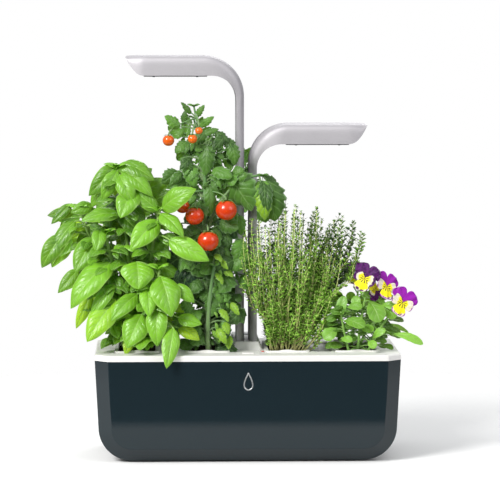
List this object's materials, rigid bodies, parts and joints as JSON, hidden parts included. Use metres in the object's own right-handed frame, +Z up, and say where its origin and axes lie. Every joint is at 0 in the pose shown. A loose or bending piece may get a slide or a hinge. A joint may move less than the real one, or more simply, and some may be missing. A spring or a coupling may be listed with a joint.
{
  "type": "countertop hydroponic garden",
  "caption": "Countertop hydroponic planter with a lift-off white tray, plug-in plant pods, two height-adjustable curved grow lamps and growing herbs, a tomato plant and violas.",
  "frame": {"origin": "on the table under the middle of the planter, in the plane of the rubber foot's underside", "axes": "+X to the right along the planter's front, +Y to the rear, +Z up; the front faces -Y"},
  "size_m": [0.391, 0.1921, 0.424],
  "materials": {
    "tank_black": "glossy",
    "rubber": "matt",
    "white_plastic": "satin",
    "base_white": "satin",
    "screw_steel": "bright",
    "guide_grey": "matt",
    "inner_grey": "matt",
    "board_green": "satin",
    "inlet_black": "satin",
    "button_grey": "satin",
    "float_foam": "matt",
    "rod_red": "glossy",
    "lamp_silver": "anodised",
    "led_board_white": "satin",
    "led_yellow": "glossy",
    "lens_clear": "frosted",
    "bezel_dark": "satin",
    "foot_cap_dark": "matt",
    "soil": "rough",
    "felt": "matt",
    "basil_leaf": "leafy",
    "tomato_leaf": "leafy",
    "tomato_skin": "glossy",
    "thyme_leaf": "leafy",
    "viola_leaf": "leafy",
    "viola_petal": "velvety"
  },
  "bodies": {
    "planter": {"planter_tank": "tank_black", "rubber_foot": "rubber"},
    "tray": {"top_tray": "white_plastic", "lamp_base": "base_white", "base_screws": "screw_steel", "mast_guide": "guide_grey", "mast_well": "inner_grey", "left_friction_pad": "rubber", "right_friction_pad": "rubber", "control_box": "inner_grey", "control_board": "board_green", "power_inlet": "inlet_black", "flap_hinge_pin": "screw_steel"},
    "refill_flap": {"refill_flap": "white_plastic"},
    "light_button": {"light_button": "button_grey"},
    "level_float": {"level_float": "float_foam", "level_rod": "rod_red"},
    "lamp_left": {"left_lamp_arm": "lamp_silver", "left_led_board": "led_board_white", "left_leds": "led_yellow", "left_lens": "lens_clear", "left_bezel": "bezel_dark", "left_bezel_screws": "screw_steel", "left_mast_foot": "foot_cap_dark"},
    "lamp_right": {"right_lamp_arm": "lamp_silver", "right_led_board": "led_board_white", "right_leds": "led_yellow", "right_lens": "lens_clear", "right_bezel": "bezel_dark", "right_bezel_screws": "screw_steel", "right_mast_foot": "foot_cap_dark"},
    "pod_basil": {"basil_pod": "white_plastic", "basil_substrate": "soil", "basil_wick": "felt", "basil_plant": "basil_leaf"},
    "pod_tomato": {"tomato_pod": "white_plastic", "tomato_substrate": "soil", "tomato_wick": "felt", "tomato_plant": "tomato_leaf", "tomato_fruit": "tomato_skin"},
    "pod_thyme": {"thyme_pod": "white_plastic", "thyme_substrate": "soil", "thyme_wick": "felt", "thyme_plant": "thyme_leaf"},
    "pod_viola": {"viola_pod": "white_plastic", "viola_substrate": "soil", "viola_wick": "felt", "viola_plant": "viola_leaf", "viola_flowers": "viola_petal"}
  },
  "joints": [
    {"name": "tray_lift", "type": "slide", "parent": "planter", "child": "tray", "axis": [0, 0, 1], "range_m": [0, 0.11]},
    {"name": "lamp_left_height", "type": "slide", "parent": "tray", "child": "lamp_left", "axis": [0, 0, 1], "range_m": [-0.072, 0]},
    {"name": "lamp_right_height", "type": "slide", "parent": "tray", "child": "lamp_right", "axis": [0, 0, 1], "range_m": [0, 0.072]},
    {"name": "flap_hinge", "type": "hinge", "parent": "tray", "child": "refill_flap", "pos_m": [0, -0.037, 0.1116], "axis": [-1, 0, 0], "range_deg": [0, 75]},
    {"name": "float_rise", "type": "slide", "parent": "tray", "child": "level_float", "axis": [0, 0, 1], "range_m": [0, 0.03]},
    {"name": "button_press", "type": "slide", "parent": "tray", "child": "light_button", "axis": [0, 0, -1], "range_m": [0, 0.0012], "stiffness_N_per_m": 600},
    {"name": "basil_pod_lift", "type": "slide", "parent": "tray", "child": "pod_basil", "axis": [0, 0, 1], "range_m": [0, 0.05]},
    {"name": "tomato_pod_lift", "type": "slide", "parent": "tray", "child": "pod_tomato", "axis": [0, 0, 1], "range_m": [0, 0.05]},
    {"name": "thyme_pod_lift", "type": "slide", "parent": "tray", "child": "pod_thyme", "axis": [0, 0, 1], "range_m": [0, 0.05]},
    {"name": "viola_pod_lift", "type": "slide", "parent": "tray", "child": "pod_viola", "axis": [0, 0, 1], "range_m": [0, 0.05]}
  ]
}
